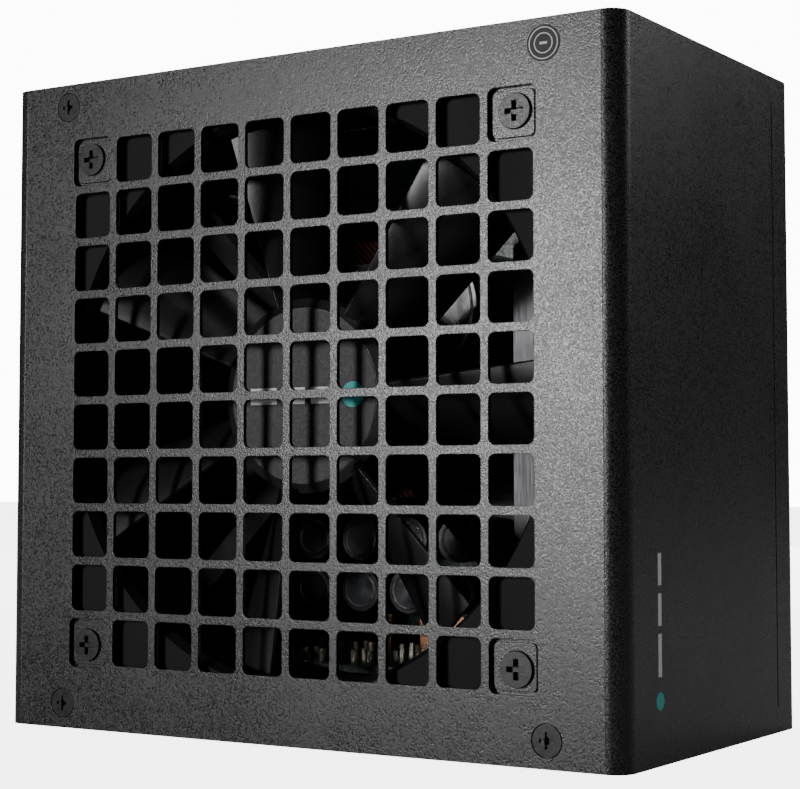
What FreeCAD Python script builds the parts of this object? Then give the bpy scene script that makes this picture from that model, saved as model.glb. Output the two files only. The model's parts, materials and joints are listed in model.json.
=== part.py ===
import FreeCAD, Part

import math
import os
import re

import Sketcher

# Power supply unit for a desktop computer: a folded steel case that holds a
# 120 mm fan, a mains entry with a rocker switch, the conversion circuit and a
# board of detachable cable sockets.
#
# Frame: +X across the case, -Y out through the fan grille, +Z towards the
# mains panel. The origin is the middle of the face that carries the cable
# sockets, which is the face the unit stands on.

DOC = FreeCAD.newDocument("power_supply_unit")
SHEET = DOC.addObject("Spreadsheet::Sheet", "dims")

# Driving dimensions in millimetres and degrees.
DIMENSIONS = {
    # case
    "width": 150.0,
    "thickness": 86.0,
    "depth": 140.0,
    "wall": 1.0,
    "cover_bend": 4.0,
    "tray_bend": 5.0,
    "seam": 30.5,
    "seam_gap": 0.5,
    "seam_margin": 5.5,
    "seam_closed_gap": 0.1,
    "lap_front": 22.0,
    "lap_step": 1.2,
    "panel_play": 0.1,
    "panel_corner": 3.5,
    "return_lip": 9.0,
    "return_half": 68.0,
    # grille
    "cell_pitch": 11.5,
    "cell_size": 9.8,
    "cell_corner": 1.4,
    "cell_count": 10,
    "fan_centre": 70.4,
    "pad_half_span": 52.05,
    "pad_opening": 10.4,
    "pad_size": 9.0,
    "pad_corner": 1.5,
    "pad_recess": 0.8,
    "pad_groove": 1.5,
    "pad_boss": 12.6,
    "pad_back": 2.4,
    # case screws
    "case_screw_half_span": 59.0,
    "case_screw_low": 5.2,
    "case_screw_high": 135.0,
    "case_head_radius": 3.05,
    "case_head_height": 0.48,
    "case_head_play": 0.2,
    "case_thread_radius": 1.4,
    "case_thread_length": 4.5,
    "case_slot_span": 3.2,
    "case_slot_width": 0.7,
    "seal_radius": 3.5,
    "seal_height": 0.1,
    # fan screws
    "fan_screw_half_span": 52.5,
    "fan_head_radius": 3.4,
    "fan_head_height": 0.65,
    "fan_taper": 1.1,
    "fan_thread_radius": 2.0,
    "fan_thread_length": 11.0,
    "fan_slot_span": 4.0,
    "fan_slot_width": 1.05,
    "fan_slot_depth": 1.3,
    "screw_play": 0.15,
    # mounting holes of the mains panel
    "mount_radius": 1.4,
    "mount_collar": 3.2,
    "mount_collar_height": 1.2,
    # mains panel vents
    "vent_flats": 5.0,
    "vent_pitch": 6.0,
    "vent_row": 5.2,
    "vent_left": -62.0,
    "vent_edge_row": 31.2,
    # mains inlet
    "inlet_x": 52.0,
    "inlet_y": 6.0,
    "inlet_flange_x": 31.0,
    "inlet_flange_y": 24.0,
    "inlet_flange_z": 1.8,
    "inlet_body_x": 26.6,
    "inlet_body_y": 19.6,
    "inlet_body_z": 19.0,
    "inlet_cavity_x": 24.4,
    "inlet_cavity_y": 16.6,
    "inlet_cavity_z": 16.5,
    "inlet_bevel": 5.0,
    "inlet_pin_x": 2.0,
    "inlet_pin_y": 4.0,
    "inlet_pin_step": 7.0,
    "inlet_pin_offset": 2.0,
    "inlet_pin_tip": 3.5,
    "inlet_pin_end": 114.5,
    "inlet_board_z": 116.0,
    "board_thickness": 1.6,
    # rocker switch
    "switch_x": 27.0,
    "switch_y": 6.0,
    "switch_flange_x": 15.0,
    "switch_flange_y": 21.0,
    "switch_flange_z": 1.5,
    "switch_body_x": 13.0,
    "switch_body_y": 19.0,
    "switch_body_z": 14.0,
    "switch_cavity_x": 11.0,
    "switch_cavity_y": 17.4,
    "switch_cavity_floor": 130.6,
    "rocker_pivot": 139.5,
    "rocker_radius": 8.3,
    "rocker_width": 10.4,
    "rocker_crest": 1.2,
    "rocker_slope": 10.0,
    "rocker_tilt": 8.0,
    "rocker_pin_radius": 1.0,
    "rocker_pin_play": 0.05,
    "rocker_pin_length": 0.8,
    "terminal_step": 4.5,
    # fan
    "fan_size": 120.0,
    "fan_depth": 25.0,
    "fan_front": -40.5,
    "fan_bore": 58.5,
    "fan_duct": 59.9,
    "fan_flange": 4.0,
    "fan_post": 4.6,
    "fan_hole": 2.15,
    "fan_mouth": 1.2,
    "fan_mouth_depth": 2.0,
    "motor_plate_radius": 21.0,
    "motor_plate": 3.0,
    "strut_width": 5.0,
    "strut_depth": 3.5,
    "hub_radius": 20.0,
    "hub_front": -37.0,
    "hub_wall": 1.6,
    "hub_length": 16.4,
    "hub_bevel": 2.0,
    "hub_bevel_depth": 0.8,
    "hub_label_radius": 17.9,
    "hub_label_height": 0.15,
    "blade_count": 7,
    "blade_phase": 108.5,
    "blade_tip": 57.2,
    "blade_root_width": 9.5,
    "blade_tip_width": 19.5,
    "blade_front": -37.8,
    "blade_root_back": -21.5,
    "blade_tip_back": -23.8,
    "blade_thickness": 1.7,
    "blade_edge": 0.7,
    "blade_camber": 0.12,
    "shaft_radius": 1.5,
    "shaft_play": 0.03,
    "bearing_radius": 3.5,
    "bearing_tube": 5.0,
    "shaft_start": 1.7,
    "shaft_length": 16.3,
    "bearing_start": 5.0,
    "bearing_length": 11.0,
    "bearing_gap": 0.1,
    "retainer_start": 16.6,
    "retainer_radius": 2.8,
    "retainer_length": 0.5,
    "yoke_inner": 17.2,
    "yoke_length": 14.3,
    "magnet_start": 3.0,
    "magnet_outer": 17.1,
    "magnet_inner": 15.6,
    "magnet_length": 12.0,
    "motor_board_start": 16.8,
    "motor_board_radius": 16.5,
    "motor_board_thickness": 1.0,
    "stator_start": 5.0,
    "stator_stack": 8.0,
    "stator_hub_radius": 7.0,
    "stator_outer": 15.0,
    "stator_inner": 13.4,
    # boards
    "board_face": 36.0,
    "board_seat": 0.05,
    "board_half_x": 68.0,
    "board_low": 18.0,
    "board_high": 134.0,
    "post_half_x": 62.0,
    "post_low": 24.0,
    "post_high": 128.0,
    "post_radius": 3.0,
    "post_bore": 1.5,
    "board_screw_radius": 1.35,
    "board_head_radius": 2.8,
    "board_head_height": 1.8,
    "socket_board_z": 12.0,
    "socket_board_half_x": 62.0,
    "socket_board_front": -12.0,
    "socket_board_rear": 34.0,
    # cable sockets
    "socket_pitch": 4.2,
    "socket_rim": 0.6,
    "socket_chamber": 3.6,
    "socket_chamber_depth": 9.5,
    "socket_setback": 0.2,
    "socket_left": -54.0,
    "socket_spacing": 3.0,
    "socket_rear_row": 18.0,
    "socket_front_row": -2.0,
    "socket_play": 0.2,
    "pin_size": 1.0,
    "pin_low": 2.5,
    "pin_high": 16.0,
    # parts on the main board
    "bulk_x": 8.0,
    "bulk_z": 90.0,
    "bulk_radius": 15.0,
    "bulk_height": 42.0,
    "output_can_radius": 5.0,
    "output_can_height": 20.0,
    "disc_radius": 4.5,
    "disc_thickness": 3.5,
    "choke_x": 54.0,
    "choke_y": 24.5,
    "choke_gap": 3.0,
    "sink_plate": 3.0,
    "sink_fin": 1.2,
    "sink_fin_pitch": 3.4,
    "sink_fin_reach": 5.0,
    "fuse_x": 63.0,
    "fuse_y": 31.0,
    "fuse_radius": 2.7,
    "fuse_length": 20.0,
    "fuse_cap_radius": 3.1,
    "fuse_cap_length": 5.0,
    "thermistor_radius": 6.5,
    "thermistor_thickness": 4.5,
    "bar_y": 31.0,
    "bar_width": 12.0,
    "bar_thickness": 1.0,
    "bar_shelf": 20.5,
    "terminal_low": 117.0,
    "terminal_length": 13.0,
    "terminal_width": 6.3,
    "terminal_plate": 0.8,
    # leads
    "mains_lead_radius": 1.1,
    "fan_lead_radius": 1.2,
}

NODES = []


def fill_sheet():
    """Write every driving dimension as a plain number with its alias."""
    for row, (alias, value) in enumerate(DIMENSIONS.items(), start=1):
        SHEET.set(f"A{row}", alias)
        SHEET.set(f"B{row}", str(value))
        SHEET.setAlias(f"B{row}", alias)
    DOC.recompute()


def formula(text):
    """Turn 'wall / 2' into the expression 'dims.wall / 2'."""
    return re.sub(r"[a-z][a-z_]*", lambda word: "dims." + word.group(0), str(text))


def value(text):
    """Evaluate a formula with the sheet's current numbers."""
    result = SHEET.evalExpression(formula(text))
    return float(getattr(result, "Value", result))


def bind(item, sizes):
    """Drive an object's properties from the sheet."""
    for name, text in sizes.items():
        item.setExpression(name, formula(text))


def node(item, label):
    """Register an object as a finished sub-part."""
    item.Label = label
    NODES.append(item)
    return item


# Part primitives ------------------------------------------------------------

ALONG = {
    "X": FreeCAD.Rotation(FreeCAD.Vector(0, 1, 0), 90),
    "Y": FreeCAD.Rotation(FreeCAD.Vector(1, 0, 0), -90),
    "Z": FreeCAD.Rotation(),
}


def place(item, base, rotation=ALONG["Z"]):
    """Turn an object and drive its position from the sheet."""
    item.Placement = FreeCAD.Placement(FreeCAD.Vector(), rotation)
    bind(item, {f"Placement.Base.{axis}": text for axis, text in zip("xyz", base)})


def box(name, low, size):
    """Block from its lowest corner and its size along X, Y and Z."""
    item = DOC.addObject("Part::Box", name)
    bind(item, dict(zip(("Length", "Width", "Height"), size)))
    place(item, low)
    return item


def block(name, centre, size):
    """Block from its centre and its size along X, Y and Z."""
    low = [f"{middle} - ({extent}) / 2" for middle, extent in zip(centre, size)]
    return box(name, low, size)


def rod(name, start, radius, length, axis="Y"):
    """Cylinder from the centre of its first face, along a row axis."""
    item = DOC.addObject("Part::Cylinder", name)
    bind(item, {"Radius": radius, "Height": length})
    place(item, start, ALONG[axis])
    return item


def taper(name, start, radii, length, axis="Y"):
    """Cone frustum from the centre of its first face, along a row axis."""
    item = DOC.addObject("Part::Cone", name)
    bind(item, {"Radius1": radii[0], "Radius2": radii[1], "Height": length})
    place(item, start, ALONG[axis])
    return item


def fuse(name, parts):
    """Union of several objects."""
    item = DOC.addObject("Part::MultiFuse", name)
    item.Shapes = parts
    return item


def cut(name, base, tools):
    """Base with every tool taken away."""
    item = DOC.addObject("Part::Cut", name)
    item.Base = base
    item.Tool = tools[0] if len(tools) == 1 else fuse(name + "_tools", tools)
    return item


def common(name, first, second):
    """Material that two objects share."""
    item = DOC.addObject("Part::Common", name)
    item.Base = first
    item.Tool = second
    return item


def group(name, parts):
    """Separate solids kept together as one node."""
    item = DOC.addObject("Part::Compound", name + "_set")
    item.Links = parts
    return node(item, name)


def tube(name, start, outer, inner, length, axis="Y"):
    """Hollow cylinder along a row axis."""
    body = rod(name + "_outer", start, outer, length, axis)
    bore = rod(name + "_inner", start, inner, length, axis)
    return cut(name, body, [bore])


# PartDesign helpers ---------------------------------------------------------


def plain_body(name):
    """Body that other objects build on."""
    body = DOC.addObject("PartDesign::Body", name + "_body")
    body.Label = name
    return body


def perforated(name, body, cutters):
    """A body with many small cutters taken away at once."""
    tools = DOC.addObject("Part::Compound", name + "_cutters")
    tools.Links = cutters
    return cut(name, body, [tools])


def divided(label, sheet, regions):
    """Folded sheet as flat panels that meet face to face at the fold lines."""
    panels = []
    for name, low, size in regions:
        region = box(f"{label}_{name}_region", low, size)
        panels.append(common(f"{label}_{name}", sheet, region))
    group(label, panels)


def origin_feature(body, role):
    """One of a body's own origin planes or axes."""
    return next(item for item in body.Origin.OriginFeatures if item.Role == role)


def sketch_on(body, plane, name, offset="0"):
    """Sketch on an origin plane, moved along the plane's normal."""
    sketch = body.newObject("Sketcher::SketchObject", name)
    sketch.AttachmentSupport = [(origin_feature(body, plane), "")]
    sketch.MapMode = "FlatFace"
    sketch.setExpression("AttachmentOffset.Base.z", formula(offset))
    return sketch


def rounded_rectangle(sketch, centre, size, corner):
    """Rounded rectangle whose centre, size and corner radius follow the sheet."""
    mid_x, mid_y = value(centre[0]), value(centre[1])
    half_x, half_y = value(size[0]) / 2, value(size[1]) / 2
    radius = value(corner)
    in_x, in_y = half_x - radius, half_y - radius
    point = FreeCAD.Vector

    def spot(x, y):
        return point(mid_x + x, mid_y + y, 0)

    def quarter(x, y, start):
        circle = Part.Circle(spot(x, y), point(0, 0, 1), radius)
        return Part.ArcOfCircle(circle, math.radians(start), math.radians(start + 90))

    outline = [
        Part.LineSegment(spot(-in_x, -half_y), spot(in_x, -half_y)),
        quarter(in_x, -in_y, 270),
        Part.LineSegment(spot(half_x, -in_y), spot(half_x, in_y)),
        quarter(in_x, in_y, 0),
        Part.LineSegment(spot(in_x, half_y), spot(-in_x, half_y)),
        quarter(-in_x, in_y, 90),
        Part.LineSegment(spot(-half_x, in_y), spot(-half_x, -in_y)),
        quarter(-in_x, -in_y, 180),
    ]
    sketch.addGeometry(outline, False)
    count = len(outline)
    for index in range(count):
        follower = (index + 1) % count
        sketch.addConstraint(Sketcher.Constraint("Tangent", index, 2, follower, 1))
    sketch.addConstraint(Sketcher.Constraint("Horizontal", 0))
    sketch.addConstraint(Sketcher.Constraint("Horizontal", 4))
    sketch.addConstraint(Sketcher.Constraint("Vertical", 2))
    sketch.addConstraint(Sketcher.Constraint("Vertical", 6))
    for index in (3, 5, 7):
        sketch.addConstraint(Sketcher.Constraint("Equal", 1, index))
    drivers = (
        ("corner", Sketcher.Constraint("Radius", 1, radius), corner),
        ("span_x", Sketcher.Constraint("DistanceX", 6, 1, 2, 1, 2 * half_x), size[0]),
        ("span_y", Sketcher.Constraint("DistanceY", 0, 1, 4, 1, 2 * half_y), size[1]),
        ("right", Sketcher.Constraint("DistanceX", -1, 1, 2, 1, mid_x + half_x),
         f"{centre[0]} + ({size[0]}) / 2"),
        ("top", Sketcher.Constraint("DistanceY", -1, 1, 4, 1, mid_y + half_y),
         f"{centre[1]} + ({size[1]}) / 2"),
    )
    for name, constraint, text in drivers:
        index = sketch.addConstraint(constraint)
        sketch.renameConstraint(index, name)
        sketch.setExpression("Constraints." + name, formula(text))


def pad(body, sketch, name, length):
    """Extrude a sketch along its normal."""
    feature = body.newObject("PartDesign::Pad", name)
    feature.Profile = sketch
    feature.Refine = False
    bind(feature, {"Length": length})
    body.Tip = feature
    return feature


def pocket(body, sketch, name, length, reversed_way=False):
    """Cut a sketch out, against its normal unless reversed."""
    feature = body.newObject("PartDesign::Pocket", name)
    feature.Profile = sketch
    feature.Refine = False
    feature.Reversed = reversed_way
    bind(feature, {"Length": length})
    body.Tip = feature
    return feature


def primitive(body, kind, name, start, sizes, rotation=ALONG["Z"]):
    """Additive or subtractive primitive placed in the body."""
    feature = body.newObject("PartDesign::" + kind, name)
    feature.Refine = False
    bind(feature, sizes)
    place(feature, start, rotation)
    body.Tip = feature
    return feature


def body_block(body, kind, name, low, size):
    """Additive or subtractive block from its lowest corner."""
    return primitive(body, kind + "Box", name, low, dict(zip(("Length", "Width", "Height"), size)))


def body_rod(body, kind, name, start, radius, length, axis):
    """Additive or subtractive cylinder along a row axis."""
    sizes = {"Radius": radius, "Height": length}
    return primitive(body, kind + "Cylinder", name, start, sizes, ALONG[axis])


def grid(body, name, originals, first, second):
    """Repeat features; each direction is an axis role, a count and a spacing."""
    feature = body.newObject("PartDesign::LinearPattern", name)
    feature.Refine = False
    feature.Originals = originals
    feature.Direction = (origin_feature(body, first[0]), [""])
    feature.Direction2 = (origin_feature(body, second[0]), [""])
    bind(feature, {"Occurrences": first[1], "Length": f"({first[1]} - 1) * ({first[2]})"})
    bind(feature, {"Occurrences2": second[1], "Length2": f"({second[1]} - 1) * ({second[2]})"})
    body.Tip = feature
    return feature


# Case -----------------------------------------------------------------------


def open_channel(body, near, bend, open_from, way):
    """Folded channel: rounded outer block, hollowed, with one long side removed.

    near is the Y of the closed face, way is +1 when the channel opens to +Y."""
    middle = f"{near} + {way} * thickness / 2"
    outer = sketch_on(body, "XY_Plane", "channel_outside")
    rounded_rectangle(outer, ("0", middle), ("width", "thickness"), bend)
    pad(body, outer, "channel_blank", "depth")
    inner = sketch_on(body, "XY_Plane", "channel_inside")
    hollow = ("width - 2 * wall", "thickness - 2 * wall")
    rounded_rectangle(inner, ("0", middle), hollow, f"{bend} - wall")
    pocket(body, inner, "channel_hollow", "depth", reversed_way=True)
    low = open_from if way > 0 else f"{open_from} - thickness"
    body_block(body, "Subtractive", "channel_mouth", ("-width / 2 - 1", low, "-1"),
               ("width + 2", "thickness", "depth + 2"))


def rounded_cell(name, x, z):
    """Cutter for one square cell with rounded corners."""
    blank = box(name + "_blank", (f"{x} - cell_size / 2", "-thickness / 2", f"{z} - cell_size / 2"),
                ("cell_size", "wall", "cell_size"))
    unit = Part.makeBox(1, 1, 1)
    corners = [index for index, edge in enumerate(unit.Edges, start=1)
               if edge.BoundBox.YLength > 0.5]
    radius = value("cell_corner")
    item = DOC.addObject("Part::Fillet", name)
    item.Base = blank
    item.Edges = [(index, radius, radius) for index in corners]
    return item


def grille_cells():
    """Cutters in rows and columns, without the four corner cells."""
    count = int(value("cell_count"))
    ends = (0, count - 1)
    cells = []
    for row in range(count):
        for column in range(count):
            if row in ends and column in ends:
                continue
            x = f"({column} - (cell_count - 1) / 2) * cell_pitch"
            z = f"fan_centre + ({row} - (cell_count - 1) / 2) * cell_pitch"
            cells.append(rounded_cell(f"cell_{row}_{column}", x, z))
    return cells


def screw_pads(body):
    """Recessed square pads that carry the fan, one in each corner of the grille."""
    low_x = "-pad_half_span"
    low_z = "fan_centre - pad_half_span"
    face = "-thickness / 2"
    boss = body_block(body, "Additive", "pad_boss",
                      (f"{low_x} - pad_boss / 2", f"{face} + wall", f"{low_z} - pad_boss / 2"),
                      ("pad_boss", "pad_back - wall", "pad_boss"))
    opening = sketch_on(body, "XZ_Plane", "pad_opening_outline", "thickness / 2")
    rounded_rectangle(opening, (low_x, low_z), ("pad_opening", "pad_opening"), "pad_corner")
    recess = pocket(body, opening, "pad_opening", "pad_groove")
    top = sketch_on(body, "XZ_Plane", "pad_outline", "thickness / 2 - pad_groove")
    rounded_rectangle(top, (low_x, low_z), ("pad_size", "pad_size"), "pad_corner - 0.4")
    plateau = pad(body, top, "pad_plateau", "pad_groove - pad_recess")
    span = "2 * pad_half_span"
    grid(body, "pads", [boss, recess, plateau], ("X_Axis", "2", span), ("Z_Axis", "2", span))
    centre = ("-fan_screw_half_span", f"{face} + pad_recess", "fan_centre - fan_screw_half_span")
    sizes = {
        "Radius1": "fan_head_radius + screw_play",
        "Radius2": "fan_thread_radius + screw_play",
        "Height": "fan_taper + screw_play",
    }
    sink = primitive(body, "SubtractiveCone", "pad_countersink", centre, sizes, ALONG["Y"])
    hole = body_rod(body, "Subtractive", "pad_hole", centre, "fan_thread_radius + screw_play",
                    "pad_back", "Y")
    span = "2 * fan_screw_half_span"
    grid(body, "pad_holes", [sink, hole], ("X_Axis", "2", span), ("Z_Axis", "2", span))


def across_regions(bend, low, height):
    """Left fold, flat face and right fold of a sheet, between two levels."""
    middle = f"width - 2 * {bend}"
    starts = {"left": ("-width / 2", bend), "face": (f"-width / 2 + {bend}", middle),
              "right": (f"width / 2 - {bend}", bend)}
    return [(name, (start, "-thickness / 2", low), (span, "thickness", height))
            for name, (start, span) in starts.items()]


def fan_cover():
    """Front sheet with the grille and two side flanges."""
    body = plain_body("cover_sheet")
    open_channel(body, "-thickness / 2", "cover_bend", "seam", 1)
    screw_pads(body)
    start = ("-case_screw_half_span", "-thickness / 2", "case_screw_low")
    seat = body_rod(body, "Subtractive", "screw_seat", start,
                    "case_head_radius + case_head_play", "case_head_height + 0.05", "Y")
    hole = body_rod(body, "Subtractive", "screw_hole", start,
                    "case_thread_radius + screw_play", "wall", "Y")
    grid(body, "screw_seats", [seat, hole], ("X_Axis", "2", "2 * case_screw_half_span"),
         ("Z_Axis", "2", "case_screw_high - case_screw_low"))
    sheet = perforated("cover_perforated", body, grille_cells())
    divided("fan_cover", sheet, across_regions("cover_bend", "0", "depth"))


def tray_panels(body):
    """Mains panel and socket panel, both folded in from the rear sheet."""
    front = "-thickness / 2 + wall + panel_play"
    rear = "thickness / 2 - panel_play"
    centre = ("0", f"({front} + {rear}) / 2")
    size = ("width - 2 * wall - 2 * panel_play", f"{rear} - ({front})")
    for name, level in (("socket_panel", "0"), ("mains_panel", "depth - wall")):
        outline = sketch_on(body, "XY_Plane", name + "_outline", level)
        rounded_rectangle(outline, centre, size, "panel_corner")
        pad(body, outline, name, "wall")
    for name, level in (("low_lip", "0"), ("high_lip", "depth - return_lip")):
        body_block(body, "Additive", name, ("-return_half", front, level),
                   ("2 * return_half", "wall", "return_lip"))


def tray_laps(body):
    """Side strips with a stepped flange that slips inside the cover."""
    start = "seam + seam_gap"
    long = "depth - 2 * seam_margin"
    lap = "width / 2 - wall - lap_step"
    for name, side in (("left", -1), ("right", 1)):
        flange = lap if side > 0 else "-width / 2 + lap_step"
        strip = "width / 2 - wall" if side > 0 else "-width / 2"
        step = lap if side > 0 else "-width / 2"
        body_block(body, "Additive", name + "_lap", (flange, "lap_front", "seam_margin"),
                   ("wall", f"{start} - lap_front + wall", long))
        body_block(body, "Additive", name + "_step", (step, start, "seam_margin"),
                   ("wall + lap_step", "wall", long))
        for end, level in (("low", "0"), ("high", "depth - seam_margin")):
            body_block(body, "Additive", f"{name}_{end}_ear",
                       (strip, "seam + seam_closed_gap", level),
                       ("wall", "seam_gap", "seam_margin"))


def vent_cells():
    """Six-sided cutters for the honeycomb of the mains panel, in staggered rows."""
    turn = FreeCAD.Rotation(FreeCAD.Vector(0, 0, 1), 30)
    fields = (
        ("wide_even", "vent_left", "-vent_edge_row", 13, 7),
        ("wide_odd", "vent_left + vent_pitch / 2", "-vent_edge_row + vent_row", 12, 6),
        ("narrow_odd", "vent_left + vent_pitch * 13.5", "-vent_edge_row + vent_row", 8, 2),
        ("narrow_even", "vent_left + vent_pitch * 14", "-vent_edge_row + 2 * vent_row", 7, 1),
    )
    cells = []
    for name, left, front, columns, rows in fields:
        for row in range(rows):
            for column in range(columns):
                cell = DOC.addObject("Part::Prism", f"vent_{name}_{row}_{column}")
                bind(cell, {"Circumradius": f"vent_flats / {math.sqrt(3)}", "Height": "wall"})
                place(cell, (f"{left} + {column} * vent_pitch", f"{front} + {2 * row} * vent_row",
                             "depth - wall"), turn)
                cells.append(cell)
    return cells


MOUNTING_HOLES = (("-69", "-37"), ("45", "-37"), ("-69", "27"), ("69", "37"))


def tray_holes(body):
    """Openings for the mains entry, the cable sockets and the screws."""
    top = "depth - wall"
    for index, (x, y) in enumerate(MOUNTING_HOLES):
        body_rod(body, "Additive", f"mount_collar_{index}", (x, y, f"{top} - mount_collar_height"),
                 "mount_collar", "mount_collar_height", "Z")
        body_rod(body, "Subtractive", f"mount_hole_{index}",
                 (x, y, f"{top} - mount_collar_height"), "mount_radius",
                 "wall + mount_collar_height", "Z")
    for name in ("inlet", "switch"):
        size_x = f"{name}_body_x + 2 * socket_play"
        size_y = f"{name}_body_y + 2 * socket_play"
        body_block(body, "Subtractive", name + "_window",
                   (f"{name}_x - ({size_x}) / 2", f"{name}_y - ({size_y}) / 2", top),
                   (size_x, size_y, "wall"))
    for label, columns, left, row in socket_layout():
        body_block(body, "Subtractive", label + "_window",
                   (f"{left} - socket_play", f"{row} - {socket_depth()} / 2 - socket_play", "0"),
                   (f"{socket_width(columns)} + 2 * socket_play",
                    f"{socket_depth()} + 2 * socket_play", "wall"))
    thread = body_rod(body, "Subtractive", "lip_hole",
                      ("-case_screw_half_span", "-thickness / 2 + wall", "case_screw_low"),
                      "case_thread_radius + screw_play", "2 * wall", "Y")
    grid(body, "lip_holes", [thread], ("X_Axis", "2", "2 * case_screw_half_span"),
         ("Z_Axis", "2", "case_screw_high - case_screw_low"))
    body_rod(body, "Subtractive", "earth_hole", ("width / 2 - 4 * wall", EARTH_Y, EARTH_Z),
             "board_screw_radius + screw_play", "3 * wall", "X")


def housing_tray():
    """Rear sheet with the two end panels, the side strips and their laps."""
    body = plain_body("tray_sheet")
    open_channel(body, "thickness / 2", "tray_bend", "seam + seam_gap", -1)
    tray_panels(body)
    tray_laps(body)
    tray_holes(body)
    sheet = perforated("tray_perforated", body, vent_cells())
    collars = "depth - wall - mount_collar_height"
    corner = ("-width / 2", "-thickness / 2")
    regions = across_regions("tray_bend", "wall", f"{collars} - wall")
    for name, low, height in (("socket_end", "0", "wall"),
                              ("mains_end", collars, "wall + mount_collar_height")):
        regions.append((name, (*corner, low), ("width", "thickness", height)))
    divided("housing_tray", sheet, regions)


# Screws ---------------------------------------------------------------------


def cross_slot(name, centre, span, width, depth):
    """Cross recess cut into a head that faces -Y."""
    x, y, z = centre
    flat = box(name + "_flat", (f"{x} - {span} / 2", y, f"{z} - {width} / 2"),
               (span, depth, width))
    tall = box(name + "_tall", (f"{x} - {width} / 2", y, f"{z} - {span} / 2"),
               (width, depth, span))
    return [flat, tall]


def case_screw(name, x, z):
    """Flush screw that holds the cover to the tray's lip."""
    top = "-thickness / 2 + 0.03"
    head = rod(name + "_head", (x, top, z), "case_head_radius", "case_head_height")
    shank = rod(name + "_shank", (x, top, z), "case_thread_radius", "case_thread_length")
    slots = cross_slot(name, (x, top, z), "case_slot_span", "case_slot_width",
                       "case_head_height - 0.06")
    core = rod(name + "_core", (x, top, z), "case_slot_width", "case_thread_radius")
    return cut(name, fuse(name + "_blank", [head, shank]), slots + [core])


def fan_screw(name, x, z):
    """Self-tapping screw through a pad into the fan frame."""
    seat = "-thickness / 2 + pad_recess"
    top = f"{seat} - fan_head_height"
    head = rod(name + "_head", (x, top, z), "fan_head_radius", "fan_head_height")
    cone = taper(name + "_cone", (x, seat, z), ("fan_head_radius", "fan_thread_radius"), "fan_taper")
    shank = rod(name + "_shank", (x, seat, z), "fan_thread_radius", "fan_thread_length")
    slots = cross_slot(name, (x, top, z), "fan_slot_span", "fan_slot_width", "fan_slot_depth")
    return cut(name, fuse(name + "_blank", [head, cone, shank]), slots)


def case_fasteners():
    """Screws of the cover and of the fan, and the seal over one of them."""
    cover = []
    fan = []
    for side in (-1, 1):
        for end, level in (("low", "case_screw_low"), ("high", "case_screw_high")):
            name = f"case_screw_{end}_{'left' if side < 0 else 'right'}"
            cover.append(case_screw(name, f"{side} * case_screw_half_span", level))
        for end in (-1, 1):
            name = f"fan_screw_{'low' if end < 0 else 'high'}_{'left' if side < 0 else 'right'}"
            fan.append(fan_screw(name, f"{side} * fan_screw_half_span",
                                 f"fan_centre + {end} * fan_screw_half_span"))
    group("cover_screws", cover)
    group("fan_screws", fan)
    seal = rod("seal", ("case_screw_half_span", "-thickness / 2 - seal_height", "case_screw_high"),
               "seal_radius", "seal_height")
    node(seal, "seal_sticker")


# Fan ------------------------------------------------------------------------


def fan_frame():
    """Square frame with a round duct and corner posts between two flanges."""
    half = "fan_size / 2"
    blank = box("frame_blank", (f"-{half}", "fan_front", f"fan_centre - {half}"),
                ("fan_size", "fan_depth", "fan_size"))
    bore = rod("frame_bore", ("0", "fan_front", "fan_centre"), "fan_bore", "fan_depth")
    mouth = taper("frame_mouth", ("0", "fan_front", "fan_centre"),
                  ("fan_bore + fan_mouth", "fan_bore"), "fan_mouth_depth")
    waist = box("frame_waist", (f"-{half} - 1", "fan_front + fan_flange", f"fan_centre - {half} - 1"),
                ("fan_size + 2", "fan_depth - 2 * fan_flange", "fan_size + 2"))
    duct = rod("frame_duct", ("0", "fan_front", "fan_centre"), "fan_duct", "fan_depth")
    posts = []
    holes = []
    for side in (-1, 1):
        for end in (-1, 1):
            tag = f"{side + 1}{end + 1}"
            at = (f"{side} * fan_screw_half_span", "fan_front",
                  f"fan_centre + {end} * fan_screw_half_span")
            posts.append(rod("frame_post_" + tag, at, "fan_post", "fan_depth"))
            holes.append(rod("frame_hole_" + tag, at, "fan_hole", "fan_depth"))
    corners = cut("frame_corners", waist, [duct] + posts)
    node(cut("frame_ring", blank, [bore, mouth, corners] + holes), "fan_frame")


def fan_spider():
    """Four struts across the outlet with the motor plate and the bearing tower."""
    back = "fan_front + fan_depth"
    plate = rod("motor_plate", ("0", f"{back} - motor_plate", "fan_centre"),
                "motor_plate_radius", "motor_plate")
    tower = rod("bearing_tower", ("0", "hub_front + 4", "fan_centre"), "bearing_tube",
                f"{back} - hub_front - 4")
    struts = []
    for index in range(4):
        strut = box(f"strut_{index}", ("0", f"{back} - strut_depth", "0"),
                    ("fan_bore + 1", "strut_depth", "strut_width"))
        turn = FreeCAD.Rotation(FreeCAD.Vector(0, 1, 0), 90 * index + 45)
        across = turn.multVec(FreeCAD.Vector(0, 0, -value("strut_width") / 2))
        place(strut, (across.x, f"{back} - strut_depth", f"fan_centre + {across.z}"), turn)
        struts.append(strut)
    reach = rod("strut_reach", ("0", "fan_front", "fan_centre"), "fan_bore - 0.02", "fan_depth")
    blank = common("spider_blank", fuse("spider_parts", [plate, tower] + struts), reach)
    seat = rod("bearing_seat", ("0", "hub_front + 3", "fan_centre"),
               "bearing_radius + 0.05", f"{back} - hub_front - 3 - 1.2")
    node(cut("spider", blank, [seat]), "fan_spider")


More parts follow.
